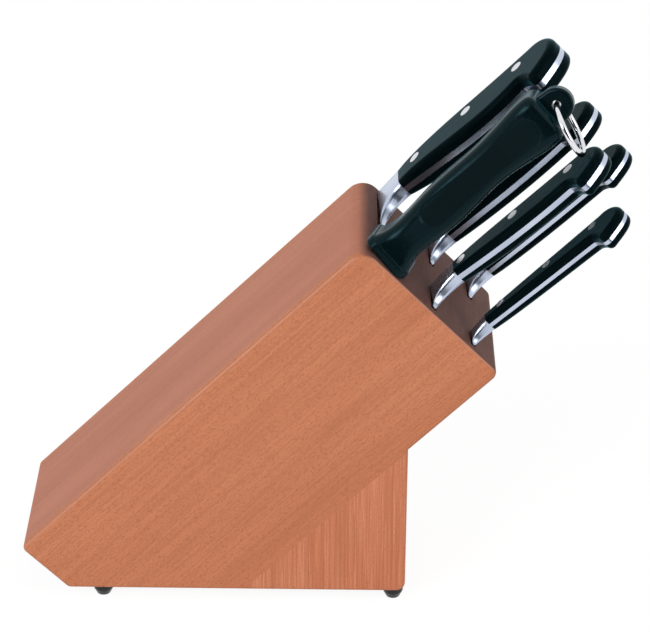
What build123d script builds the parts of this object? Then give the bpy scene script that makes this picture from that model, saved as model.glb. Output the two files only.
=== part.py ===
from build123d import *
from dataclasses import dataclass
from math import cos, radians, sin, sqrt
import os

# Slanted wooden knife block with five forged knives and a honing steel.
#
# The block frame stands on the table: +X towards the slotted face, +Z up.
# The slanted frame has its origin at the corner of the roof and the slotted
# face: x points out of the slots, y runs across the block, and -z goes down
# into the wood. Every knife is drawn in a frame of its own with the same
# directions: the blade points along -x, the cutting edge is at -y.

# ------------------------------------------------------------------ block
slant = 45.0  # slots and roof, above the table
block_thickness = 101.4  # roof to underside, square to the slant
block_length = 256.7  # along the roof
block_width = 90.0
end_height = 24.8  # low edge of the roof above the wooden base
wedge_reach = 206.6  # front of the wedge, from the low edge of the roof
mouth_round = 10.0  # between the roof and the slotted face
toe_round = 5.0  # lower corner of the slotted face, and front of the wedge
end_round = 3.5  # the two corners of the low end
edge_round = 2.5  # long edges of both sides
inner_corner_round = 0.6  # where the wedge meets the underside

# ------------------------------------------------------------------ boards
panel_thickness = 5.0  # the two side panels
roof_board_thickness = 10.7
upper_core_thickness = 27.7
lower_core_thickness = 25.5
slot_width = 4.0  # the two lower rows
chef_slot_width = 6.6
slot_end_clearance = 0.5  # blade to each end of its slot
stop_length = 12.0  # strip that closes the low end of each slot

# ------------------------------------------------------------------ wedge joint
dowel_diameter = 8.0
dowel_length = 30.0
dowel_depth_in_board = 13.0
dowel_end_gap = 1.0
dowel_spacing = 44.0  # across the block
dowel_places = (52.0, 92.0)  # along the joint, from its thin end
dowel_clearance = 0.03

# ------------------------------------------------------------------ feet
foot_diameter = 11.0
foot_flat_diameter = 7.4
foot_height = 6.0
foot_shoulder = 2.4  # upright rim of the pad under the wood
foot_bore = 3.4
foot_recess_diameter = 5.0
foot_recess_depth = 2.6
foot_end_inset = 18.5  # from the low end of the wooden base
foot_front_inset = 6.4  # from the front of the wedge
foot_side_inset = 7.0
screw_shank_diameter = 2.8
screw_head_diameter = 4.4
screw_head_height = 1.4
screw_length = 16.0
screw_clearance = 0.03

# ------------------------------------------------------------------ knives
seat_gap = 0.3  # bolster above the slotted face
scale_flat = 0.4  # flat side left on each scale, between the tang and its rounding
beak_spare = 0.2  # outline of the beak is that much rounder than the rounding of the scales
neck_round = 3.0
edge_thickness = 0.3  # blade at its cutting edge
heel_thickness = 1.0  # bolster at the cutting edge
heel_fullness = 0.4  # below 1, the bolster thins late and quickly towards its heel
bolster_steps = 6  # sections that the bolster is drawn through
bolster_trim = 0.05  # ground off the bolster's end, where the blade begins
rivet_clearance = 0.02
tip_thickness_share = 0.4  # blade thickness left at the tip
rivet_depth_share = 0.42  # of the local depth of the handle

# outline of every handle: shares of its length, and of the depth of its butt
belly_start = 0.32
belly_place = 0.55
neck_place = 0.80
beak_start = 0.838
beak_place = 0.862
beak_reach = 1.4  # the rounding of the beak takes this off again
spine_end_place = 0.88
butt_curve = ((0.93, 0.85), (0.985, 0.62), (1.0, 0.36), (0.975, 0.13))

# outline of every blade: shares of its length and of its depth at the heel
tip_height = 0.45
spine_straight = 0.45
edge_straight = 0.4


@dataclass
class Knife:
    """Sizes of one knife. Depths are measured from the spine to the belly."""
    name: str
    side: str
    row: int
    blade_length: float
    blade_thickness: float
    heel_depth: float
    bolster_length: float
    handle_length: float
    front_depth: float
    belly_depth: float
    neck_depth: float
    beak_depth: float
    spine_drop: float
    slot_thickness: float  # bolster where it rests on the slot
    front_thickness: float  # back of the bolster
    body_thickness: float  # where the taper of the front ends
    butt_thickness: float
    tang_thickness: float
    front_taper: float  # length of the taper
    rivet_diameter: float
    rivet_places: tuple  # shares of the handle length


chef = Knife(
    "chef_knife", side="far", row=1,
    blade_length=210.0, blade_thickness=3.0, heel_depth=40.5, bolster_length=17.0,
    handle_length=128.5, front_depth=18.5, belly_depth=29.8, neck_depth=26.4, beak_depth=36.8,
    spine_drop=1.4,
    slot_thickness=7.2, front_thickness=10.6, body_thickness=15.0, butt_thickness=16.6,
    tang_thickness=3.2, front_taper=22.0, rivet_diameter=6.6, rivet_places=(0.237, 0.53, 0.81),
)
slicing = Knife(
    "slicing_knife", side="far", row=2,
    blade_length=200.0, blade_thickness=2.2, heel_depth=28.5, bolster_length=14.5,
    handle_length=118.0, front_depth=16.6, belly_depth=21.2, neck_depth=20.2, beak_depth=31.2,
    spine_drop=1.2,
    slot_thickness=6.4, front_thickness=9.8, body_thickness=11.8, butt_thickness=13.0,
    tang_thickness=2.9, front_taper=20.0, rivet_diameter=6.0, rivet_places=(0.237, 0.53, 0.81),
)
carving = Knife(
    "carving_knife", side="near", row=2,
    blade_length=180.0, blade_thickness=2.2, heel_depth=24.0, bolster_length=18.0,
    handle_length=118.5, front_depth=13.4, belly_depth=22.0, neck_depth=22.8, beak_depth=33.4,
    spine_drop=4.4,
    slot_thickness=5.6, front_thickness=9.2, body_thickness=11.0, butt_thickness=11.8,
    tang_thickness=2.8, front_taper=20.0, rivet_diameter=6.0, rivet_places=(0.2, 0.51, 0.83),
)
boning = Knife(
    "boning_knife", side="far", row=3,
    blade_length=150.0, blade_thickness=2.0, heel_depth=26.0, bolster_length=14.5,
    handle_length=113.5, front_depth=15.4, belly_depth=19.6, neck_depth=20.4, beak_depth=28.4,
    spine_drop=1.2,
    slot_thickness=5.2, front_thickness=9.2, body_thickness=10.8, butt_thickness=11.8,
    tang_thickness=2.2, front_taper=18.0, rivet_diameter=5.6, rivet_places=(0.22, 0.53, 0.83),
)
paring = Knife(
    "paring_knife", side="near", row=3,
    blade_length=90.0, blade_thickness=1.8, heel_depth=14.0, bolster_length=12.0,
    handle_length=105.0, front_depth=8.4, belly_depth=13.2, neck_depth=15.6, beak_depth=24.8,
    spine_drop=1.0,
    slot_thickness=4.8, front_thickness=8.4, body_thickness=9.6, butt_thickness=10.8,
    tang_thickness=2.1, front_taper=16.0, rivet_diameter=5.2, rivet_places=(0.22, 0.53, 0.83),
)
knives = (chef, slicing, carving, boning, paring)

# ------------------------------------------------------------------ honing steel
rod_diameter = 11.0
rod_side_gap = 0.3  # rod to each side of its channel
rod_length = 225.0
rod_tip_round = 3.0
rod_tang_diameter = 8.0
rod_tang_length = 92.0
rod_tang_clearance = 0.02
steel_from_middle = 26.0  # axis of the rod, towards the near side
steel_turn = 15.0  # how far the handle is turned about the rod
guard_height = 27.6
guard_depth = 31.4
guard_thickness = 5.0
guard_corner = 6.0
guard_edge_round = 1.2
front_offset = 1.2  # guard and front of the grip sit lower than the rod's axis
grip_sections = (
    # place, height, depth, offset from the axis
    (5.0, 25.4, 29.2, front_offset),
    (9.0, 22.0, 26.0, front_offset),
    (17.0, 20.2, 24.0, front_offset),
    (48.0, 23.4, 24.4, front_offset / 2),
    (92.0, 25.6, 25.8, 0.0),
    (114.0, 25.0, 25.0, 0.0),
)
grip_corner = 6.0
grip_end_round = 4.5
grip_panel_depth = 1.2
grip_panel_height = 12.0
grip_panel_start = 30.0
grip_panel_end = 104.0
grip_panel_slope = 45.0  # sides of the panel, off upright
eye_thickness = 8.0
eye_radius = 8.8
eye_reach = 127.4  # top of the eye above the slotted face
eye_edge_round = 1.8
ring_radius = 14.2  # to the middle of the wire
ring_wire = 3.0
ring_place = 118.8  # hole of the eye, above the slotted face
ring_clearance = 0.35
ring_lean = 75.0  # between the resting ring and the handle

# ------------------------------------------------------------------ derived places
half_width = block_width / 2
inner_half = half_width - panel_thickness
row_one_height = rod_diameter + 2 * rod_side_gap
row_one_bottom = roof_board_thickness + row_one_height
row_two_top = row_one_bottom + upper_core_thickness
row_two_bottom = row_two_top + slot_width
row_three_top = row_two_bottom + lower_core_thickness
row_three_bottom = row_three_top + slot_width
steel_depth = roof_board_thickness + row_one_height / 2

along = Vector(cos(radians(slant)), 0, sin(radians(slant)))
outward = Vector(-along.Z, 0, along.X)
low_roof = Vector(0, 0, foot_height + end_height)
mouth_corner = low_roof + along * block_length
toe_corner = mouth_corner - outward * block_thickness
inner_corner = toe_corner - along * ((toe_corner.X - wedge_reach) / along.X)
wedge_foot = Vector(wedge_reach, 0, foot_height)
end_foot = low_roof - outward * (end_height / outward.Z)
wedge_tip = toe_corner - along * ((toe_corner.Z - foot_height) / along.Z)
slanted = Location(mouth_corner, (0, -slant, 0))


def slot_ends(knife):
    """Near and far end of a knife's slot, across the block."""
    room = knife.heel_depth + 2 * slot_end_clearance
    if knife.side == "far":
        return inner_half - room, inner_half
    return -inner_half, room - inner_half


def blade_depth(knife):
    """Depth of the middle of the blade under the roof."""
    if knife.row == 1:
        return roof_board_thickness + chef_slot_width / 2
    if knife.row == 2:
        return row_two_top + slot_width / 2
    return row_three_top + slot_width / 2


# ------------------------------------------------------------------ wooden block
def edges_at(solid, corner):
    """Edges across the block that pass through a corner of its side outline."""
    across = solid.edges().filter_by(Axis.Y)
    return [e for e in across if (Vector(e.center().X, 0, e.center().Z) - corner).length < 0.01]


def block_body():
    """The whole wooden body, rounded, before it is divided into its boards."""
    corners = (low_roof, mouth_corner, toe_corner, inner_corner, wedge_foot, end_foot)
    outline = Polyline(*[(p.X, p.Z) for p in corners], close=True)
    solid = extrude(Plane.XZ * make_face(outline), amount=half_width, both=True)
    rounds = (
        (mouth_corner, mouth_round),
        (toe_corner, toe_round),
        (wedge_foot, toe_round),
        (low_roof, end_round),
        (end_foot, end_round),
        (inner_corner, inner_corner_round),
    )
    for corner, radius in rounds:
        solid = fillet(edges_at(solid, corner), radius)
    rims = [e for e in solid.edges() if abs(abs(e.center().Y) - half_width) < 0.001]
    return fillet(rims, edge_round)


body = block_body()
past = 2.0  # how far a cutting shape runs past the outline
reach = block_length + block_thickness


def slab(top, bottom, near, far, start=-reach, end=past):
    """A straight piece of the slanted frame, cut to the outline of the block."""
    blank = Box(end - start, far - near, bottom - top, align=(Align.MIN, Align.MIN, Align.MAX))
    return body & (slanted * Location((start, near, -top)) * blank)


def slot_stop(top, bottom, near, far):
    """Short strip that closes the low end of a slot."""
    low = (slanted.inverse() * slab(top, bottom, near, far)).bounding_box().min.X
    return slab(top, bottom, near, far, low - past, low + stop_length)


parts = {
    "near_side_panel": slab(-past, block_thickness, -half_width - past, -inner_half),
    "far_side_panel": slab(-past, block_thickness, inner_half, half_width + past),
    "roof_board": slab(-past, roof_board_thickness, -inner_half, inner_half),
    "upper_core_board": slab(row_one_bottom, row_two_top, -inner_half, inner_half),
    "lower_core_board": slab(row_two_bottom, row_three_top, -inner_half, inner_half),
    "bottom_board": slab(row_three_bottom, block_thickness, -inner_half, inner_half),
}

channel_near = -steel_from_middle - row_one_height / 2
channel_far = channel_near + row_one_height
chef_near, chef_far = slot_ends(chef)
chef_slot_bottom = roof_board_thickness + chef_slot_width
row_one = (roof_board_thickness, row_one_bottom)
parts["top_row_near_strip"] = slab(*row_one, -inner_half, channel_near)
parts["top_row_middle_strip"] = slab(*row_one, channel_far, chef_near)
parts["steel_channel_stop"] = slot_stop(*row_one, channel_near, channel_far)
parts["chef_slot_packer"] = slab(chef_slot_bottom, row_one_bottom, chef_near, chef_far)
parts["chef_slot_stop"] = slot_stop(roof_board_thickness, chef_slot_bottom, chef_near, chef_far)
lower_rows = (
    ("middle_row", row_two_top, row_two_bottom, carving, slicing),
    ("lower_row", row_three_top, row_three_bottom, paring, boning),
)
for row_name, top, bottom, near_knife, far_knife in lower_rows:
    near_span = slot_ends(near_knife)
    far_span = slot_ends(far_knife)
    parts[row_name + "_strip"] = slab(top, bottom, near_span[1], far_span[0])
    parts[row_name + "_near_stop"] = slot_stop(top, bottom, *near_span)
    parts[row_name + "_far_stop"] = slot_stop(top, bottom, *far_span)

# ------------------------------------------------------------------ wedge and dowels
wedge = slab(block_thickness, block_thickness + reach, -half_width - past, half_width + past)
dowels = []
for place in dowel_places:
    for across in (-dowel_spacing / 2, dowel_spacing / 2):
        foot = wedge_tip + along * place + Vector(0, across, 0)
        seat = Plane(foot, x_dir=(0, 1, 0), z_dir=outward)
        lift = dowel_depth_in_board - dowel_length / 2
        dowels.append(seat * Location((0, 0, lift)) * Cylinder(dowel_diameter / 2, dowel_length))
        hole_radius = dowel_diameter / 2 + dowel_clearance
        hole = Cylinder(hole_radius, dowel_length + 2 * dowel_end_gap)
        hole = seat * Location((0, 0, lift)) * hole
        wedge -= hole
        parts["bottom_board"] -= hole
parts["foot_wedge"] = wedge
parts["dowels"] = dowels

# ------------------------------------------------------------------ feet and their screws
foot_places = []
for x in (end_foot.X + foot_end_inset, wedge_reach - foot_front_inset):
    for y in (-half_width + foot_side_inset, half_width - foot_side_inset):
        foot_places.append((x, y))


def turned(points):
    """A solid turned about the vertical axis from its half outline."""
    outline = make_face(Polyline(*points, close=True))
    return revolve(Plane.XZ * outline, Axis.Z)


def rubber_foot():
    """A domed rubber pad with a bore and a recess for its screw."""
    rim_bottom = foot_height - foot_shoulder
    dome = turned([
        (0, 0),
        (foot_flat_diameter / 2, 0),
        (foot_diameter / 2, rim_bottom),
        (foot_diameter / 2, foot_height),
        (0, foot_height),
    ])
    middle = dome.edges().filter_by(GeomType.CIRCLE).sort_by(Axis.Z)[1]
    dome = fillet(middle, foot_shoulder)
    bore = Cylinder(foot_bore / 2, foot_height + past)
    recess = Cylinder(foot_recess_diameter / 2, 2 * foot_recess_depth)
    return dome - Location((0, 0, foot_height / 2)) * bore - recess


def foot_screw():
    """A flat-headed wood screw, head down, its head against the recess."""
    head_bottom = foot_recess_depth - screw_head_height
    shoulder = screw_head_height / 2
    return turned([
        (0, head_bottom),
        (screw_head_diameter / 2 - shoulder / 2, head_bottom),
        (screw_head_diameter / 2, head_bottom + shoulder),
        (screw_head_diameter / 2, foot_recess_depth),
        (screw_shank_diameter / 2, foot_recess_depth),
        (screw_shank_diameter / 2, screw_length - screw_shank_diameter),
        (0, screw_length),
    ])


foot = rubber_foot()
screw = foot_screw()
parts["rubber_feet"] = [Location((x, y, 0)) * foot for x, y in foot_places]
parts["foot_screws"] = [Location((x, y, 0)) * screw for x, y in foot_places]
pilot = Cylinder(
    screw_shank_diameter / 2 + screw_clearance,
    screw_length + screw_clearance,
    align=(Align.CENTER, Align.CENTER, Align.MIN),
)
for x, y in foot_places:
    holder = "foot_wedge" if x > wedge_tip.X else "upper_core_board"
    parts[holder] -= Location((x, y, 0)) * pilot


# ------------------------------------------------------------------ knives
def scale_round(k):
    """Radius of the long edges of the scales."""
    return (k.front_thickness - k.tang_thickness) / 2 - scale_flat


def handle_face(k):
    """Side outline of the handle, from the back of the bolster to the butt."""
    long = k.handle_length
    swell = (k.front_depth + k.belly_depth) / 2
    neck_end = Vector(neck_place * long, -k.neck_depth)
    beak = Vector(beak_place * long, -k.beak_depth - beak_reach)
    spine_end = Vector(spine_end_place * long, -k.spine_drop)
    belly_line = Spline(
        (k.bolster_length, -k.front_depth),
        (belly_start * long, -swell),
        (belly_place * long, -k.belly_depth),
        neck_end,
    )
    beak_line = Spline(neck_end, (beak_start * long, -(k.neck_depth + k.beak_depth) / 2), beak)
    butt = k.beak_depth - k.spine_drop
    butt_points = [(place * long, -k.spine_drop - depth * butt) for place, depth in butt_curve]
    butt_line = Spline(beak, *butt_points, spine_end)
    spine_line = Spline(
        spine_end, (belly_place * long, -0.6 * k.spine_drop), (k.bolster_length, 0)
    )
    front_line = Line((k.bolster_length, 0), (k.bolster_length, -k.front_depth))
    face = make_face(Curve() + [belly_line, beak_line, butt_line, spine_line, front_line])
    corners = face.vertices()
    face = fillet(corners.sort_by_distance(beak)[0], scale_round(k) + beak_spare)
    return fillet(face.vertices().sort_by_distance(neck_end)[0], neck_round)


def bolster_section(k, turn):
    """Rounded section of the bolster: a turn of 0 is at the handle, 90 at the slot."""
    share = 1 - sin(radians(turn))
    low = -k.front_depth - (k.heel_depth - k.front_depth) * (1 - cos(radians(turn)))
    front = k.front_thickness / 2
    top_half = k.slot_thickness / 2 + (front - k.slot_thickness / 2) * share
    low_half = heel_thickness / 2 + (front - heel_thickness / 2) * share ** heel_fullness
    corners = ((top_half, 0), (low_half, low), (-low_half, low), (-top_half, 0))
    face = make_face(Polyline(*corners, close=True))
    face = fillet(face.vertices().group_by(Axis.Y)[-1], scale_round(k) * top_half / front)
    face = fillet(face.vertices().group_by(Axis.Y)[0], scale_round(k) * low_half / front)
    return Plane(origin=(k.bolster_length * share, 0, 0), x_dir=(0, 0, 1), z_dir=(-1, 0, 0)) * face


def blade_face(k):
    """Side outline of the blade, from the heel to the tip."""
    tip = (-k.blade_length, -tip_height * k.heel_depth)
    spine_end = (-spine_straight * k.blade_length, 0)
    edge_end = (-edge_straight * k.blade_length, -k.heel_depth)
    spine_curve = Spline(spine_end, tip, tangents=[(-1, 0), (-1, -0.35)])
    edge_curve = Spline(edge_end, tip, tangents=[(-1, 0), (-1, 1.1)])
    heel = (bolster_trim, -k.heel_depth)
    rest = Polyline(edge_end, heel, (bolster_trim, 0), spine_end)
    return make_face(Curve() + [spine_curve, edge_curve, rest])


def across_wedge(k):
    """Narrows the blade from its spine to its cutting edge."""
    thick, thin = k.blade_thickness / 2, edge_thickness / 2
    depth = k.heel_depth
    shape = Polyline((past, thick), (past, -thick), (-depth, -thin), (-depth, thin), close=True)
    return Location((past, 0, 0)) * extrude(
        Plane.YZ * make_face(shape), amount=-k.blade_length - 2 * past
    )


def flare(points, depth):
    """A symmetrical thickness outline, carried across the whole handle."""
    upper = [(x, z) for x, z in points]
    lower = [(x, -z) for x, z in reversed(points)]
    shape = make_face(Polyline(*upper, *lower, close=True))
    return extrude(Plane.XZ * shape, amount=2 * depth, both=True)


def handle_thickness(k):
    """The handle thickens quickly behind the bolster, then slowly to the butt."""
    b, long = k.bolster_length, k.handle_length
    front, body, butt = k.front_thickness / 2, k.body_thickness / 2, k.butt_thickness / 2
    taper_end = b + k.front_taper
    slow = (butt - body) / (long - taper_end)
    quick = 2 * (body - front) / k.front_taper - slow
    middle = ((taper_end + long) / 2, (body + butt) / 2)
    points = ((b, front), (taper_end, body), middle, (long + past, butt + past * slow))
    upper = Spline(*points, tangents=[(1, quick), (1, slow)])
    lower = Spline(*[(x, -z) for x, z in points], tangents=[(1, -quick), (1, -slow)])
    ends = [Line((x, z), (x, -z)) for x, z in (points[0], points[-1])]
    shape = make_face(Curve() + [upper, lower, *ends])
    return extrude(Plane.XZ * shape, amount=2 * k.beak_depth, both=True)


def rivet_centres(k):
    centres = []
    for share in k.rivet_places:
        depth = k.front_depth + share * (k.neck_depth - k.front_depth)
        drop = share * k.spine_drop
        centres.append((share * k.handle_length, -drop - rivet_depth_share * (depth - drop)))
    return centres


def make_knife(k):
    """Blade with bolster and tang, two scales and three rivets."""
    b, long = k.bolster_length, k.handle_length
    full = k.heel_depth + k.beak_depth
    blade = extrude(blade_face(k), amount=k.blade_thickness, both=True) & across_wedge(k)
    tip_half = tip_thickness_share * k.blade_thickness / 2
    blade &= flare([(-k.blade_length - past, tip_half), (past, k.blade_thickness / 2)], full)

    turns = [90 * step / (bolster_steps - 1) for step in range(bolster_steps)]
    ahead = Location((bolster_trim, 0, 0)) * Box(
        2 * b, 2 * full, 2 * full, align=(Align.MIN, Align.CENTER, Align.CENTER)
    )
    bolster = loft([bolster_section(k, turn) for turn in turns]) & ahead
    face = handle_face(k)
    tang = extrude(face, amount=k.tang_thickness / 2, both=True)
    steel = blade + bolster + tang

    half = max(k.body_thickness, k.butt_thickness) / 2 + past
    shape = handle_thickness(k)
    scales = []
    for direction in (1, -1):
        start = direction * k.tang_thickness / 2
        scale = Location((0, 0, start)) * extrude(face, amount=direction * half) & shape
        outer = scale.faces().sort_by(Axis.Z)[-1 if direction > 0 else 0]
        rim = [e for e in outer.edges() if e.center().X > b + 0.1]
        scales.append(fillet(rim, scale_round(k)))

    rivets = []
    for x, y in rivet_centres(k):
        radius = k.rivet_diameter / 2
        rivets.append(Location((x, y, 0)) * Cylinder(radius, 2 * half) & shape)
        hole = Location((x, y, 0)) * Cylinder(radius + rivet_clearance, 2 * half)
        steel -= hole
        scales = [scale - hole for scale in scales]

    seat = slanted * Location((seat_gap, slot_ends(k)[1] - slot_end_clearance, -blade_depth(k)))
    return {
        k.name + "_blade": seat * steel,
        k.name + "_upper_scale": seat * scales[0],
        k.name + "_lower_scale": seat * scales[1],
        k.name + "_rivets": [seat * rivet for rivet in rivets],
    }


for knife in knives:
    parts.update(make_knife(knife))


# ------------------------------------------------------------------ honing steel
steel_seat = slanted * Location((0, -steel_from_middle, -steel_depth), (-steel_turn, 0, 0))
square_on = Plane(origin=(0, 0, 0), x_dir=(0, 1, 0), z_dir=(1, 0, 0))


def section(place, height, depth, offset, corner):
    """A rounded rectangle standing across the handle of the steel."""
    return square_on.offset(place) * Location((0, -offset)) * RectangleRounded(depth, height, corner)


def round_bar(start, end, diameter):
    bar = Cylinder(diameter / 2, end - start, align=(Align.CENTER, Align.CENTER, Align.MIN))
    return Location((start, 0, 0), (0, 90, 0)) * bar


def steel_rod():
    """The ribbed rod and the thinner tang inside the handle."""
    rod = round_bar(-rod_length, seat_gap, rod_diameter)
    tip = rod.edges().filter_by(GeomType.CIRCLE).sort_by(Axis.X)[0]
    return fillet(tip, rod_tip_round) + round_bar(0, rod_tang_length, rod_tang_diameter)


def steel_handle():
    """The moulded grip with its guard, side panels and hanging eye."""
    plate = section(seat_gap, guard_height, guard_depth, front_offset, guard_corner)
    guard = extrude(plate, guard_thickness)
    ends = guard.faces().sort_by(Axis.X)
    guard = fillet(ends[-1].edges() + ends[0].edges(), guard_edge_round)
    grip = loft([section(*values, grip_corner) for values in grip_sections])
    grip = fillet(grip.faces().sort_by(Axis.X)[-1].edges(), grip_end_round)

    base = grip_sections[-1][0] - grip_end_round
    eye_side = make_face(Polyline(
        (base, -eye_radius - 1), (base, eye_radius + 1),
        (eye_reach - eye_radius, eye_radius), (eye_reach - eye_radius, -eye_radius), close=True,
    )) + Location((eye_reach - eye_radius, 0, 0)) * Circle(eye_radius)
    eye = extrude(Plane.XZ * eye_side, amount=eye_thickness / 2, both=True)
    flats = [f for f in eye.faces() if abs(abs(f.center().Y) - eye_thickness / 2) < 0.001]
    domes = [e for f in flats for e in f.edges() if e.center().X > base + 0.1]
    eye = fillet(domes, eye_edge_round)

    core = loft([
        section(place, height, depth - 2 * grip_panel_depth, offset, grip_corner)
        for place, height, depth, offset in grip_sections
    ])
    panels = []
    narrowest = min(depth for place, height, depth, offset in grip_sections)
    middle = (grip_panel_start + grip_panel_end) / 2
    for direction in (1, -1):
        window = SlotOverall(grip_panel_end - grip_panel_start, grip_panel_height)
        floor = narrowest / 2 - grip_panel_depth
        facing = Plane(origin=(middle, direction * floor, 0), x_dir=(1, 0, 0), z_dir=(0, direction, 0))
        cutter = extrude(facing * window, 3 * grip_panel_depth, taper=-grip_panel_slope)
        panels.append(cutter - core)

    bow = ring_radius - sqrt(ring_radius ** 2 - (eye_thickness / 2) ** 2)
    hole_radius = ring_wire / 2 + bow + ring_clearance
    hole = Location((ring_place, 0, 0), (90, 0, 0)) * Cylinder(hole_radius, 2 * eye_thickness)
    socket = round_bar(-past, rod_tang_length + past, rod_tang_diameter + 2 * rod_tang_clearance)
    return guard + grip + eye - panels - hole - socket


def steel_ring():
    """A closed wire ring through the eye, leaning on the end of the handle."""
    torus = Location((ring_radius, 0, 0)) * Torus(ring_radius, ring_wire / 2)
    return Location((ring_place, 0, 0), (0, 180 - ring_lean, 0)) * torus


parts["steel_rod"] = steel_seat * steel_rod()
parts["steel_handle"] = steel_seat * steel_handle()
parts["steel_ring"] = steel_seat * steel_ring()

# ------------------------------------------------------------------ export
os.makedirs("parts", exist_ok=True)
groups = {name: part if isinstance(part, list) else [part] for name, part in parts.items()}
solids = [solid for group in groups.values() for part in group for solid in part.solids()]
bounds = Compound(children=solids).bounding_box()
centred = Location((-bounds.center().X, -bounds.center().Y, -bounds.min.Z))
for name, group in groups.items():
    node = Compound(children=[centred * solid for part in group for solid in part.solids()])
    node.label = name
    export_step(node, os.path.join("parts", name + ".step"))
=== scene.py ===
import math

import bpy
from mathutils import Matrix, Vector


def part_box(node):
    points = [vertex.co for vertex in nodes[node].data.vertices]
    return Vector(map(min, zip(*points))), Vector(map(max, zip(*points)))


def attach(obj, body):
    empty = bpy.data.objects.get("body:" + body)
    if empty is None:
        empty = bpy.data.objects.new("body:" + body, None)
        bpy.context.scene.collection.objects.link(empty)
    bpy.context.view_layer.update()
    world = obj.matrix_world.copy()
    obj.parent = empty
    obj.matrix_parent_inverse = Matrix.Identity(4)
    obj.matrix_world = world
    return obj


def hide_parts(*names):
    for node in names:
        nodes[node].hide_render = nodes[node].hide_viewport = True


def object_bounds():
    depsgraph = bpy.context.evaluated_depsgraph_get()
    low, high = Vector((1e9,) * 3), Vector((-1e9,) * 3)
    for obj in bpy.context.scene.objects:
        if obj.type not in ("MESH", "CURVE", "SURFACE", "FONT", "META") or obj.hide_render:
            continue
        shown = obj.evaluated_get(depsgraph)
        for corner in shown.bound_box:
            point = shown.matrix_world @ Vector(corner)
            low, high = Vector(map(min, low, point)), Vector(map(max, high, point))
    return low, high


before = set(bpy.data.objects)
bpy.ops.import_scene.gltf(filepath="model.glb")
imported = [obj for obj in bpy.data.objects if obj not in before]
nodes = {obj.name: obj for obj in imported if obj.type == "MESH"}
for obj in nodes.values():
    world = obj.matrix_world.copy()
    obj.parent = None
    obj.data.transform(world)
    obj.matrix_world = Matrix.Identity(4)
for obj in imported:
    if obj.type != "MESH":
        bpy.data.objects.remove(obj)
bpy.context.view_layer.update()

# ---------------------------------------------------------------- side panels
# The two sides of the block are single boards of steamed beech, 5 mm thick,
# glued over the edges of the inner boards. The grain runs along the slant,
# with the short dark flecks that beech shows, under a thin coat of oil.


class Wire:
    """One value inside a material, written into sums as if it were a number."""

    def __init__(self, tree, socket=None):
        self.tree = tree
        self.socket = socket

    def node(self, kind, settings=None, sockets=None, out=0):
        """Adds a node with its settings and what feeds it, and gives one of its outputs."""
        made = self.tree.nodes.new("ShaderNode" + kind)
        for key, value in (settings or {}).items():
            setattr(made, key, value)
        for key, value in (sockets or {}).items():
            if isinstance(value, Wire):
                self.tree.links.new(value.socket, made.inputs[key])
            else:
                made.inputs[key].default_value = value
        return Wire(self.tree, made.outputs[out])

    def math(self, operation, first, second=0.0):
        return self.node("Math", {"operation": operation}, {0: first, 1: second})

    def __add__(self, other):
        return self.math("ADD", self, other)

    __radd__ = __add__

    def __sub__(self, other):
        return self.math("SUBTRACT", self, other)

    def __rsub__(self, other):
        return self.math("SUBTRACT", other, self)

    def __mul__(self, other):
        return self.math("MULTIPLY", self, other)

    __rmul__ = __mul__

    def lean(self, turn, shift=(0, 0, 0)):
        """This place with its X axis leant about Y to run along the grain, then shifted."""
        return self.node("Mapping", {}, {"Vector": self, "Rotation": (0, turn, 0),
                                         "Location": shift})

    def reach(self, direction):
        """How far this place or normal lies along a direction."""
        return self.node("VectorMath", {"operation": "DOT_PRODUCT"}, {0: self, 1: direction},
                         "Value")

    def step(self, low, high):
        """0 below low, 1 above high, and smooth between them."""
        return self.node("MapRange", {"interpolation_type": "SMOOTHSTEP"},
                         {"Value": self, "From Min": low, "From Max": high})

    def blend(self, first, second):
        """A colour that goes from the first to the second as this value goes from 0 to 1."""
        first, second = [c if isinstance(c, Wire) else (*c, 1) for c in (first, second)]
        return self.node("Mix", {"data_type": "RGBA"}, {0: self, 6: first, 7: second}, 2)

    def noise(self, scale, detail=2.0, roughness=0.5):
        """Soft random patches; scale is how many there are in a metre, along each axis."""
        place = self.node("Mapping", {}, {"Vector": self, "Scale": scale})
        return self.node("TexNoise", {}, {"Vector": place, "Scale": 1.0, "Detail": detail,
                                          "Roughness": roughness})

    def bump(self, height, distance, strength=1.0):
        """A normal pressed in or raised by a height from 0 to 1, over a distance in metres."""
        return self.node("Bump", {}, {"Height": height, "Distance": distance,
                                      "Strength": strength})


def new_material(name):
    """An empty material, its main shader and the wire of its object coordinates."""
    material = bpy.data.materials.new(name)
    material.use_nodes = True
    tree = material.node_tree
    shader = tree.nodes["Principled BSDF"]
    place = Wire(tree).node("TexCoord", out="Object")
    return material, shader, place


def fit(shader, **wires):
    """Joins wires or plain values to the shader's sockets, named with underscores."""
    for name, value in wires.items():
        socket = shader.inputs[name.replace("_", " ")]
        if isinstance(value, Wire):
            value.tree.links.new(value.socket, socket)
        elif isinstance(value, tuple) and len(value) == 3 and socket.type == "RGBA":
            socket.default_value = (*value, 1)
        else:
            socket.default_value = value


def dress(names, material):
    """Gives CAD nodes a finished material in place of their plain one."""
    for name in names:
        slots = nodes[name].data.materials
        for index in range(len(slots)):
            slots[index] = material


SLANT = math.radians(45)

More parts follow.
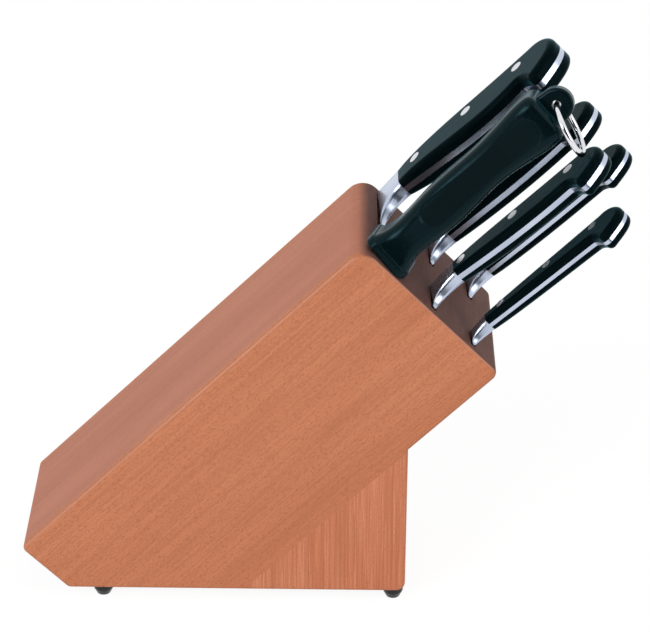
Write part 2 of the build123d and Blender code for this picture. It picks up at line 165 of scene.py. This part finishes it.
# Colours of the wood, and how many patches a metre each of its patterns has along
# the grain and across it.
PALE_BEECH = (0.655, 0.250, 0.126)
RED_BEECH = (0.570, 0.202, 0.096)
FLECK_BEECH = (0.400, 0.126, 0.058)
# Dark end grain, its own darker tone deepened with painted shade of the slotted face.
SHADED_END_BEECH = (0.110, 0.056, 0.050)
# The paler colour of the painted highlight along the block's outer edges.
EDGE_HIGHLIGHT_BEECH = (0.700, 0.345, 0.255)
BROAD_TONE = (4, 26, 26)
DARK_STREAKS = (16, 900, 900)
PALE_LINES = (24, 1100, 1100)
RAY_FLECKS = (560, 2000, 2000)
PORES = (900, 4600, 4600)
FINE_GRAIN = (60, 2600, 2600)
END_RAYS = (300, 300, 2400)
END_RINGS = (60, 60, 420)
# Where the painted highlight along an edge starts to fade, and where it is gone.
EDGE_HIGHLIGHT_WIDTH = (0.0003, 0.0016)

ALONG = Vector((math.cos(SLANT), 0, math.sin(SLANT)))
OUTWARD = Vector((-math.sin(SLANT), 0, math.cos(SLANT)))


def span(name, direction):
    """How far a CAD node reaches along a direction, at its low and its high end."""
    reach = [corner.co.dot(direction) for corner in nodes[name].data.vertices]
    return min(reach), max(reach)


ROOF_LEVEL = span("near_side_panel", OUTWARD)[1]
MOUTH_LEVEL = span("near_side_panel", ALONG)[1]
LOW_END = span("near_side_panel", Vector((1, 0, 0)))[0]
UNDERSIDE = span("near_side_panel", Vector((0, 0, 1)))[0]
NEAR_FACE = span("near_side_panel", Vector((0, 1, 0)))[0]
FAR_FACE = span("far_side_panel", Vector((0, 1, 0)))[1]


def edge_highlight_mask(place):
    """1 on the outer edges of the block, where a painted highlight makes them paler, and 0 a
    little way from them.
    """
    near = place.reach((0, 1, 0)) - NEAR_FACE
    side = place.math("MINIMUM", near, FAR_FACE - place.reach((0, 1, 0)))
    outline = place.math("MINIMUM", ROOF_LEVEL - place.reach(OUTWARD),
                         MOUTH_LEVEL - place.reach(ALONG))
    outline = place.math("MINIMUM", outline, place.reach((1, 0, 0)) - LOW_END)
    outline = place.math("MINIMUM", outline, place.reach((0, 0, 1)) - UNDERSIDE)
    return 1 - place.math("MAXIMUM", side, outline).step(*EDGE_HIGHLIGHT_WIDTH)


def beech(name, turn, seed, pale=PALE_BEECH, red=RED_BEECH, streaks=0.38, flecks=0.54,
          pale_lines=0.22, ring_scale=230, end=0.9):
    """Oiled beech; turn leans the grain about Y, and the seed picks another part of the tree.

    The other values are the shares of each pattern, the rings in a metre, and how much
    darker the end grain is, its own darker tone deepened with painted shade.
    """
    material, shader, place = new_material(name)
    along = place.lean(turn, (seed, seed * 0.37, seed * 0.71))
    tone = along.noise(BROAD_TONE, 3).step(0.32, 0.70)
    ring = along.noise((6, ring_scale, ring_scale), 3, 0.6).step(0.40, 0.70)
    streak = along.noise(DARK_STREAKS, 3, 0.65).step(0.46, 0.66)
    pale_line = along.noise(PALE_LINES, 2, 0.6).step(0.52, 0.68)
    fleck = along.noise(RAY_FLECKS, 1, 0.4).step(0.54, 0.66)
    pores = along.noise(PORES, 1).step(0.56, 0.70)
    fine = along.noise(FINE_GRAIN, 2, 0.6)
    colour = tone.blend(pale, red)
    colour = (ring * streaks).blend(colour, [c * 0.80 for c in red])
    colour = (streak * streaks).blend(colour, [c * 0.74 for c in red])
    colour = (pale_line * pale_lines).blend(colour, [c * 1.12 for c in pale])
    colour = (fleck * flecks).blend(colour, FLECK_BEECH)
    colour = (pores * 0.25).blend(colour, FLECK_BEECH)
    colour = ((fine - 0.5) * 0.4 + 0.1).blend(colour, [c * 0.80 for c in red])
    facing = place.node("TexCoord", out="Normal")
    cut = facing.reach((math.cos(turn), 0, math.sin(turn)))
    cut = place.math("ABSOLUTE", cut).step(0.45, 0.98)
    rays = along.noise(END_RAYS, 2).step(0.45, 0.75)
    rings = along.noise(END_RINGS, 3).step(0.40, 0.62)
    # The end grain colour is its own darker tone and painted shade together.
    shaded_end_colour = (rays * 0.5).blend(SHADED_END_BEECH, [c * 1.6 for c in SHADED_END_BEECH])
    shaded_end_colour = (rings * 0.5).blend(shaded_end_colour, [c * 0.62 for c in SHADED_END_BEECH])
    colour = (cut * end).blend(colour, shaded_end_colour)
    # Painted highlight: the outer edges of the block are paled as if they caught the light, broken
    # up a little by the grain.
    edge_highlight = edge_highlight_mask(place) * (0.45 + 0.55 * fine.step(0.35, 0.6))
    colour = (edge_highlight * 0.8).blend(colour, EDGE_HIGHLIGHT_BEECH)
    height = 1 - fleck * 0.5 - pores * 0.6 + fine * 0.4
    fit(shader, Base_Color=colour, Roughness=0.44 + 0.14 * fine + 0.10 * fleck + 0.12 * cut,
        Normal=place.bump(height, 0.00006, 0.5), Specular_IOR_Level=0.20)
    return material


dress(["near_side_panel"], beech("near panel beech", SLANT, 0.31))
dress(["far_side_panel"], beech("far panel beech", SLANT, 1.83))

# ---------------------------------------------------------------- boards and strips
# Four thick boards and the strips between them are stacked and glued, so that
# the gaps between the strips are the slots. Their ends make the slotted face,
# where the end grain has drunk the oil and is darker, and painted shade makes it darker still.

ROOF_PALE = (0.612, 0.240, 0.146)
ROOF_RED = (0.530, 0.194, 0.116)
dress(["roof_board"], beech("roof beech", SLANT, 2.47, ROOF_PALE, ROOF_RED,
                           streaks=0.26, flecks=0.25, pale_lines=0.1))
dress(["upper_core_board"], beech("upper core beech", SLANT, 3.12))
dress(["lower_core_board"], beech("lower core beech", SLANT, 4.58))
dress(["bottom_board"], beech("bottom beech", SLANT, 5.29))
strips = [name for name in nodes if name.endswith(("_strip", "_stop", "_packer"))]
dress(strips, beech("strip beech", SLANT, 6.66))

# ---------------------------------------------------------------- foot wedge
# A full-width block of beech glued and dowelled under the slanted body. Its
# grain stands upright, so its broader rings show as darker upright stripes.

WEDGE_PALE = (0.790, 0.345, 0.195)
WEDGE_RED = (0.610, 0.205, 0.100)
dress(["foot_wedge"], beech("wedge beech", math.radians(90), 7.93, WEDGE_PALE, WEDGE_RED,
                           streaks=0.7, flecks=0.3, pale_lines=0.35, ring_scale=420, end=0.6))

# ---------------------------------------------------------------- rubber feet and screws
# Four domed black rubber pads lift the wood off the table. Each is held by a
# flat-headed zinc-plated wood screw with a cross recess, sunk in the pad.

rubber, shader, place = new_material("black rubber")
dust = place.noise((900, 900, 900), 3).step(0.4, 0.75)
fit(shader, Base_Color=dust.blend((0.006, 0.0055, 0.006), (0.013, 0.012, 0.012)),
    Roughness=0.26 + 0.14 * dust, Normal=place.bump(dust, 0.00003, 0.4), Specular_IOR_Level=0.35)
dress(["rubber_feet"], rubber)

zinc, shader, place = new_material("zinc plating")
blotch = place.noise((1500, 1500, 600), 3).step(0.35, 0.7)
fit(shader, Base_Color=blotch.blend((0.66, 0.66, 0.64), (0.52, 0.53, 0.54)), Metallic=1.0,
    Roughness=0.26 + 0.16 * blotch, Normal=place.bump(blotch, 0.00002, 0.4))

TOUCH = 0.0001  # points nearer than this count as being at one level
SMOOTH_UNDER = math.radians(32)  # faces that meet more sharply keep a crisp edge


def pick(piece, kind, wanted):
    """Opens a piece in edit mode with only those of its vertices, edges or polygons selected."""
    bpy.ops.object.mode_set(mode="OBJECT")
    mesh = piece.data
    for part in (*mesh.vertices, *mesh.edges, *mesh.polygons):
        part.select = False
    for part in getattr(mesh, kind):
        part.select = wanted(part)
    order = ("vertices", "edges", "polygons")
    bpy.context.tool_settings.mesh_select_mode = [kind == name for name in order]
    bpy.ops.object.mode_set(mode="EDIT")


def middle_of(piece, edge):
    """The point halfway along an edge."""
    ends = [piece.data.vertices[index].co for index in edge.vertices]
    return (ends[0] + ends[1]) / 2


def raise_top(piece, height, width=1.0):
    """Draws the highest face of a piece upwards, and narrows it to a share of its width."""
    top = max(corner.co.z for corner in piece.data.vertices)
    pick(piece, "polygons", lambda face: face.normal.z > 0.9 and face.center.z > top - TOUCH / 10)
    bpy.ops.mesh.extrude_region_move(TRANSFORM_OT_translate={"value": (0, 0, height)})
    bpy.ops.transform.resize(value=(width, width, 1), center_override=(0, 0, top + height))
    bpy.ops.object.mode_set(mode="OBJECT")


def finish_piece(piece, name, material, body, slot, *replaced):
    """Names and dresses a finished piece, puts its place in its mesh and gives it to its body."""
    bpy.ops.object.select_all(action="DESELECT")
    piece.select_set(True)
    bpy.context.view_layer.objects.active = piece
    bpy.ops.object.transform_apply(location=True, rotation=True, scale=True)
    pick(piece, "polygons", lambda face: True)
    bpy.ops.mesh.normals_make_consistent(inside=False)
    bpy.ops.object.mode_set(mode="OBJECT")
    bpy.ops.object.shade_smooth_by_angle(angle=SMOOTH_UNDER)
    piece.name = name
    piece.data.materials.clear()
    piece.data.materials.append(material)
    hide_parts(*replaced)
    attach(piece, body)


HEAD_RADIUS = 0.0022
HEAD_HEIGHT = 0.0014
HEAD_ROUND = 0.0004
SHANK_RADIUS = 0.0014
POINT_SHARE = 0.1
RECESS_LENGTH = 0.0027
RECESS_WIDTH = 0.0006
RECESS_DEPTH = 0.0009
RECESS_TAPER = 0.55

screw_low, screw_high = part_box("foot_screws")
bpy.ops.object.select_all(action="DESELECT")
bpy.ops.mesh.primitive_cylinder_add(vertices=32, radius=HEAD_RADIUS, depth=HEAD_HEIGHT,
                                    location=(0, 0, screw_low.z + HEAD_HEIGHT / 2))
screw = bpy.context.object
bpy.ops.object.transform_apply(location=True)
pick(screw, "edges", lambda edge: middle_of(screw, edge).z < screw_low.z + TOUCH)
bpy.ops.mesh.bevel(offset=HEAD_ROUND, segments=3, affect="EDGES")
bpy.ops.object.mode_set(mode="OBJECT")
raise_top(screw, 0, SHANK_RADIUS / HEAD_RADIUS)
raise_top(screw, screw_high.z - screw_low.z - HEAD_HEIGHT - 2 * SHANK_RADIUS)
raise_top(screw, 2 * SHANK_RADIUS, POINT_SHARE)
for turn in (0, 90):
    bpy.ops.object.select_all(action="DESELECT")
    bpy.ops.mesh.primitive_cube_add(size=1, location=(0, 0, screw_low.z),
                                    rotation=(0, 0, math.radians(turn)))
    arm = bpy.context.object
    arm.scale = (RECESS_LENGTH, RECESS_WIDTH, 2 * RECESS_DEPTH)
    bpy.ops.object.transform_apply(location=True, rotation=True, scale=True)
    pick(arm, "polygons", lambda face: face.normal.z > 0.9)
    bpy.ops.transform.resize(value=(RECESS_TAPER, RECESS_TAPER, 1), center_override=(0, 0, 0))
    bpy.ops.object.mode_set(mode="OBJECT")
    cut = screw.modifiers.new("cross recess", "BOOLEAN")
    cut.operation = "DIFFERENCE"
    cut.solver = "EXACT"
    cut.object = arm
    bpy.context.view_layer.objects.active = screw
    bpy.ops.object.modifier_apply(modifier=cut.name)
    bpy.data.objects.remove(arm)

screws = []
for x in (screw_low.x + HEAD_RADIUS, screw_high.x - HEAD_RADIUS):
    for y in (screw_low.y + HEAD_RADIUS, screw_high.y - HEAD_RADIUS):
        copy = screw.copy()
        copy.data = screw.data.copy()
        copy.location = (x, y, 0)
        bpy.context.collection.objects.link(copy)
        screws.append(copy)
bpy.data.objects.remove(screw)
bpy.ops.object.select_all(action="DESELECT")
for copy in screws:
    copy.select_set(True)
bpy.context.view_layer.objects.active = screws[0]
bpy.ops.object.transform_apply(location=True, rotation=True, scale=True)
bpy.ops.object.join()
finish_piece(screws[0], "cross_head_screws", zinc, "block", "zinc_steel", "foot_screws")

# ---------------------------------------------------------------- dowels
# Four beech pegs join the wedge to the bottom board, hidden in their holes.

RAW_PALE = (0.66, 0.42, 0.25)
RAW_RED = (0.58, 0.35, 0.19)
dress(["dowels"], beech("dowel beech", -SLANT, 8.4, RAW_PALE, RAW_RED))

# ---------------------------------------------------------------- knives
# Each knife is one forging: blade, full bolster with heel, and a full tang that
# shows all round the handle. Two black scales are riveted on with three steel
# rivets, and scales, tang and rivets are ground flush together.

KNIVES = ("chef_knife", "slicing_knife", "carving_knife", "boning_knife", "paring_knife")
steel, shader, place = new_material("forged steel")
leant = place.lean(SLANT)
grind = leant.noise((2600, 90, 2600), 2, 0.6)
cloud = leant.noise((40, 60, 60), 2).step(0.3, 0.7)
fit(shader, Base_Color=cloud.blend((0.58, 0.64, 0.77), (0.46, 0.52, 0.65)), Metallic=1.0,
    Roughness=0.24 + 0.06 * grind + 0.04 * cloud,
    Normal=place.bump(grind, 0.000002, 0.3))
dress([knife + "_blade" for knife in KNIVES], steel)

black_scale, shader, place = new_material("black scale")
leant = place.lean(SLANT)
wear = leant.noise((60, 700, 700), 3).step(0.4, 0.75)
speck = place.noise((2200, 2200, 2200), 2).step(0.5, 0.8)
fit(shader, Base_Color=wear.blend((0.0010, 0.0030, 0.0038), (0.0022, 0.0055, 0.0065)),
    Roughness=0.27 + 0.09 * wear + 0.05 * speck, Normal=place.bump(speck, 0.000012, 0.3),
    Specular_IOR_Level=0.018, Specular_Tint=(0.38, 0.86, 1.0),
    Sheen_Weight=0.42, Sheen_Roughness=0.35, Sheen_Tint=(0.10, 0.56, 0.70))
dress([knife + half for knife in KNIVES for half in ("_upper_scale", "_lower_scale")], black_scale)

rivet, shader, place = new_material("rivet steel")
turned = place.noise((3000, 3000, 3000), 2)
fit(shader, Base_Color=turned.blend((0.78, 0.79, 0.82), (0.62, 0.64, 0.68)), Metallic=1.0,
    Roughness=0.16 + 0.12 * turned)
dress([knife + "_rivets" for knife in KNIVES], rivet)

# ---------------------------------------------------------------- honing steel
# A ribbed rod of hard steel in a moulded black handle, with a rectangular guard,
# a shallow panel in each side and an eye at the end for the ring.

ribbed, shader, place = new_material("ribbed rod steel")
leant = place.lean(SLANT)
ribs = leant.noise((8, 2400, 2400), 1)
fit(shader, Base_Color=ribs.blend((0.66, 0.67, 0.70), (0.42, 0.43, 0.46)), Metallic=1.0,
    Roughness=0.24 + 0.2 * ribs, Normal=place.bump(ribs, 0.00008, 0.7))

RIBS = 48
RIB_DEPTH = 0.0002
RIB_END = 0.0006
SHANK = 0.010
TANG_RADIUS = 0.0040
TIP_ROUND = 0.0030

rod_tip, tang_end = span("steel_rod", ALONG)
guard_face = span("steel_handle", ALONG)[0]
rod_near, rod_far = span("steel_rod", Vector((0, 1, 0)))
rod_radius = (rod_far - rod_near) / 2
ribs_end = guard_face - SHANK
bpy.ops.object.select_all(action="DESELECT")
bpy.ops.mesh.primitive_cylinder_add(vertices=2 * RIBS, radius=rod_radius, depth=ribs_end - rod_tip,
                                    location=(0, 0, (ribs_end + rod_tip) / 2))
rod = bpy.context.object
bpy.ops.object.transform_apply(location=True)
raise_top(rod, RIB_END)
raise_top(rod, guard_face - ribs_end - RIB_END)
raise_top(rod, 0, TANG_RADIUS / rod_radius)
raise_top(rod, tang_end - guard_face)


def in_a_groove(corner):
    """Every second line of points below the smooth shank."""
    step = round(math.atan2(corner.co.x, corner.co.y) * RIBS / math.pi)
    return step % 2 == 1 and corner.co.z < ribs_end + TOUCH


pick(rod, "vertices", in_a_groove)
groove = 1 - RIB_DEPTH / rod_radius
bpy.ops.transform.resize(value=(groove, groove, 1), center_override=(0, 0, 0))
pick(rod, "edges", lambda edge: middle_of(rod, edge).z < rod_tip + TOUCH)
bpy.ops.mesh.bevel(offset=TIP_ROUND, segments=5, affect="EDGES")
bpy.ops.object.mode_set(mode="OBJECT")
rod.rotation_euler = (0, SLANT, 0)
rod.location = OUTWARD * (sum(span("steel_rod", OUTWARD)) / 2)
rod.location.y = (rod_near + rod_far) / 2
finish_piece(rod, "ribbed_rod", ribbed, "honing_steel", "ribbed_steel", "steel_rod")

# The floor of the panel is duller than the rest of the grip, and darkened with
# painted shade. Its places are measured from the face of the guard and from the axis of the
# handle.
HANDLE_TURN = math.radians(15)
PANEL_MIDDLE = 0.0667
PANEL_HALF_LENGTH = 0.031
PANEL_EDGE = (0.0045, 0.0085)

moulded, shader, place = new_material("moulded black")
upward = OUTWARD * math.cos(HANDLE_TURN) + Vector((0, math.sin(HANDLE_TURN), 0))
axis = OUTWARD * (sum(span("steel_rod", OUTWARD)) / 2) + Vector((0, (rod_near + rod_far) / 2, 0))
height = place.reach(upward) - axis.dot(upward)
past_end = place.math("ABSOLUTE", place.reach(ALONG) - (guard_face + PANEL_MIDDLE))
past_end = place.math("MAXIMUM", past_end - PANEL_HALF_LENGTH, 0.0)
outside_shaded_panel = place.math("SQRT", height * height + past_end * past_end).step(*PANEL_EDGE)
skin = place.noise((1400, 1400, 1400), 2).step(0.35, 0.7)
skin_colour = skin.blend((0.0010, 0.0040, 0.0050), (0.0022, 0.0066, 0.0080))
# Inside the panel the base colour is painted shade, nearly black; the rest of the grip keeps its
# own dark colour.
fit(shader, Base_Color=outside_shaded_panel.blend((0.0004, 0.0010, 0.0012), skin_colour),
    Roughness=0.50 - 0.28 * outside_shaded_panel + 0.07 * skin, Normal=place.bump(skin, 0.000015, 0.3),
    Specular_IOR_Level=0.16, Specular_Tint=(0.38, 0.86, 1.0),
    Sheen_Weight=0.22, Sheen_Roughness=0.35, Sheen_Tint=(0.10, 0.56, 0.70))
dress(["steel_handle"], moulded)

# ---------------------------------------------------------------- hanging ring
# A closed ring of polished wire through the eye of the steel. It hangs loose
# and leans on the end of the handle.

polished, shader, place = new_material("polished wire")
mark = place.noise((900, 900, 900), 3).step(0.45, 0.8)
fit(shader, Base_Color=mark.blend((0.80, 0.81, 0.84), (0.68, 0.70, 0.74)), Metallic=1.0,
    Roughness=0.10 + 0.12 * mark)
dress(["steel_ring"], polished)

# ---------------------------------------------------------------- table, light and camera
# A plain white table under a large soft light from the left and the front,
# with a weaker one from the right, in an even white studio.

TABLE_SIZE = 12.0
TABLE_GLOW = 1.08
GLOW_SHARE = 0.85
ROOM_LIGHT = 0.465
BACKDROP = 1.0
CARD_SIZE = (9.0, 4.3, 1.0)
CARD_PLACE = (0, -3.2, 2.15)

low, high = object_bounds()
middle = (low + high) / 2


def seen_rays(start):
    """1 for the rays that show a surface as itself, and 0 for those that only carry light."""
    rays = [start.node("LightPath", out="Is %s Ray" % kind)
            for kind in ("Camera", "Glossy", "Transmission")]
    return start.math("MAXIMUM", start.math("MAXIMUM", rays[0], rays[1]), rays[2])


bpy.ops.object.select_all(action="DESELECT")
bpy.ops.mesh.primitive_plane_add(size=TABLE_SIZE, location=(0, 0, 0))
table = bpy.context.object
table.name = "table"
table_top, shader, place = new_material("table white")
cloth = place.noise((40, 40, 40), 2)
fit(shader, Base_Color=cloth.blend((0.86, 0.86, 0.86), (0.84, 0.84, 0.84)), Roughness=0.9,
    Specular_IOR_Level=0.1)
plain = Wire(place.tree, shader.outputs[0])
glow = place.node("Emission", {}, {"Color": (1, 1, 1, 1), "Strength": TABLE_GLOW})
mixed = place.node("MixShader", {}, {0: GLOW_SHARE * seen_rays(place), 1: plain, 2: glow})
place.tree.links.new(mixed.socket, place.tree.nodes["Material Output"].inputs["Surface"])
table.data.materials.append(table_top)

world = bpy.data.worlds.new("studio")
world.use_nodes = True
bpy.context.scene.world = world
start = Wire(world.node_tree)
room = start.node("Background", {}, {"Color": (1, 1, 1, 1), "Strength": ROOM_LIGHT})
backdrop = start.node("Background", {}, {"Color": (1, 1, 1, 1), "Strength": BACKDROP})
mixed = start.node("MixShader", {}, {0: seen_rays(start), 1: room, 2: backdrop})
start.tree.links.new(mixed.socket, start.tree.nodes["World Output"].inputs["Surface"])

# A black card far in front gives the polished steel and the black handles something
# dark to reflect. It is seen in reflections only.
bpy.ops.object.select_all(action="DESELECT")
bpy.ops.mesh.primitive_plane_add(size=1, location=CARD_PLACE, rotation=(math.radians(90), 0, 0))
card = bpy.context.object
card.name = "black_card"
card.scale = CARD_SIZE
bpy.ops.object.transform_apply(location=True, rotation=True, scale=True)
card_black, shader, place = new_material("black card")
felt = place.noise((300, 300, 300), 2)
fit(shader, Base_Color=felt.blend((0.010, 0.014, 0.018), (0.014, 0.018, 0.022)), Roughness=0.95,
    Specular_IOR_Level=0.0)
card.data.materials.append(card_black)
card.visible_camera = False
card.visible_diffuse = False
card.visible_shadow = False


def lamp(name, place, size, power):
    """A square soft light that faces the middle of the object."""
    bpy.ops.object.light_add(type="AREA", location=place)
    light = bpy.context.object
    light.name = name
    light.data.size = size
    light.data.energy = power
    light.rotation_euler = (middle - Vector(place)).to_track_quat("-Z", "Y").to_euler()


lamp("key light", place=(-1.1, -1.5, 1.2), size=1.0, power=22.0)
lamp("side light", place=(1.4, -0.7, 0.9), size=0.9, power=7.0)

CAMERA_TURN = math.radians(0.443)
CAMERA_RISE = math.radians(27.633)
CAMERA_ROLL = math.radians(0.407)
CAMERA_DISTANCE = 1.4353
AIM_FROM_LOW_END = 0.1606323
AIM_ABOVE_UNDERSIDE = 0.1442
aim = Vector((LOW_END + AIM_FROM_LOW_END, (NEAR_FACE + FAR_FACE) / 2,
              UNDERSIDE + AIM_ABOVE_UNDERSIDE))
bpy.ops.object.camera_add()
camera = bpy.context.object
camera.name = "camera"
turn = (Matrix.Rotation(CAMERA_TURN, 4, "Z")
        @ Matrix.Rotation(math.radians(90) - CAMERA_RISE, 4, "X")
        @ Matrix.Rotation(CAMERA_ROLL, 4, "Z"))
camera.matrix_world = Matrix.Translation(aim) @ turn @ Matrix.Translation((0, 0, CAMERA_DISTANCE))
camera.data.sensor_width = 36
camera.data.lens = 150.0
camera.data.clip_start = 0.05
bpy.context.scene.camera = camera
bpy.context.scene.view_settings.view_transform = "Standard"
